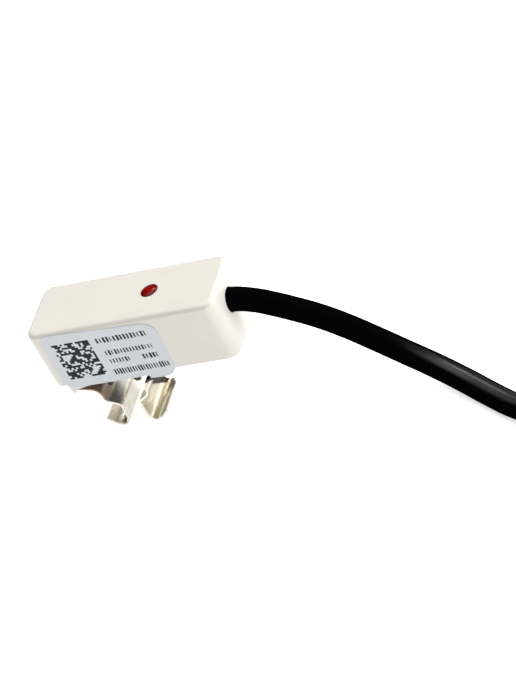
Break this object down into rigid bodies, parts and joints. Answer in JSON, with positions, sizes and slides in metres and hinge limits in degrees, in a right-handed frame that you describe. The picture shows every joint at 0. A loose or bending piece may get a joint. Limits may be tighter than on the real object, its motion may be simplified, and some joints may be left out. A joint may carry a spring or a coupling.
{
  "type": "non-contact liquid level sensor",
  "caption": "Clip-on level sensor for a small hose: white moulded body, spring clip and saddle on its rear, red lamp on its face, black lead wound into a tied hank.",
  "frame": {"origin": "middle of the hose clip, on the centre line of the hose that it holds", "axes": "+X along the body towards the lead, +Y along the hose and away from the label, +Z out of the face with the lamp"},
  "size_m": [0.1612, 0.0413, 0.0231],
  "materials": {
    "white_shell": "satin",
    "cover_black": "satin",
    "spring_strip": "satin, faint warm tint",
    "label_film": "satin, printed",
    "red_lens": "clear red, polished",
    "tinned_metal": "bright tin",
    "board_green": "lacquered",
    "copper": "bright copper",
    "gilt_pin": "gilt",
    "chip_black": "matt",
    "capacitor_tan": "fired ceramic",
    "resistor_dark": "glazed",
    "core_brown": "satin",
    "core_yellow": "satin",
    "core_blue": "satin",
    "core_black": "satin",
    "inner_tie_white": "natural nylon",
    "black_rubber": "matt",
    "jacket_black": "satin",
    "tie_grey": "satin"
  },
  "bodies": {
    "root": {"housing": "white_shell", "rear_cover": "cover_black", "spring_clip": "spring_strip", "label": "label_film", "indicator_led": "red_lens", "led_legs": "tinned_metal", "circuit_board": "board_green", "sensing_electrode": "copper", "electrode_pin": "gilt_pin", "microcontroller": "chip_black", "voltage_regulator": "chip_black", "output_transistor": "chip_black", "protection_diode": "chip_black", "capacitors": "capacitor_tan", "resistors": "resistor_dark", "solder_joints": "tinned_metal", "brown_core_inside": "core_brown", "yellow_core_inside": "core_yellow", "blue_core_inside": "core_blue", "black_core_inside": "core_black", "inner_tie": "inner_tie_white", "cable_grommet": "black_rubber", "cable_lead": "jacket_black", "cable_hank": "jacket_black", "cable_tail": "jacket_black", "front_tie": "tie_grey", "back_tie": "tie_grey", "brown_core": "core_brown", "yellow_core": "core_yellow", "blue_core": "core_blue", "black_core": "core_black", "tinned_tips": "tinned_metal"}
  },
  "joints": []
}
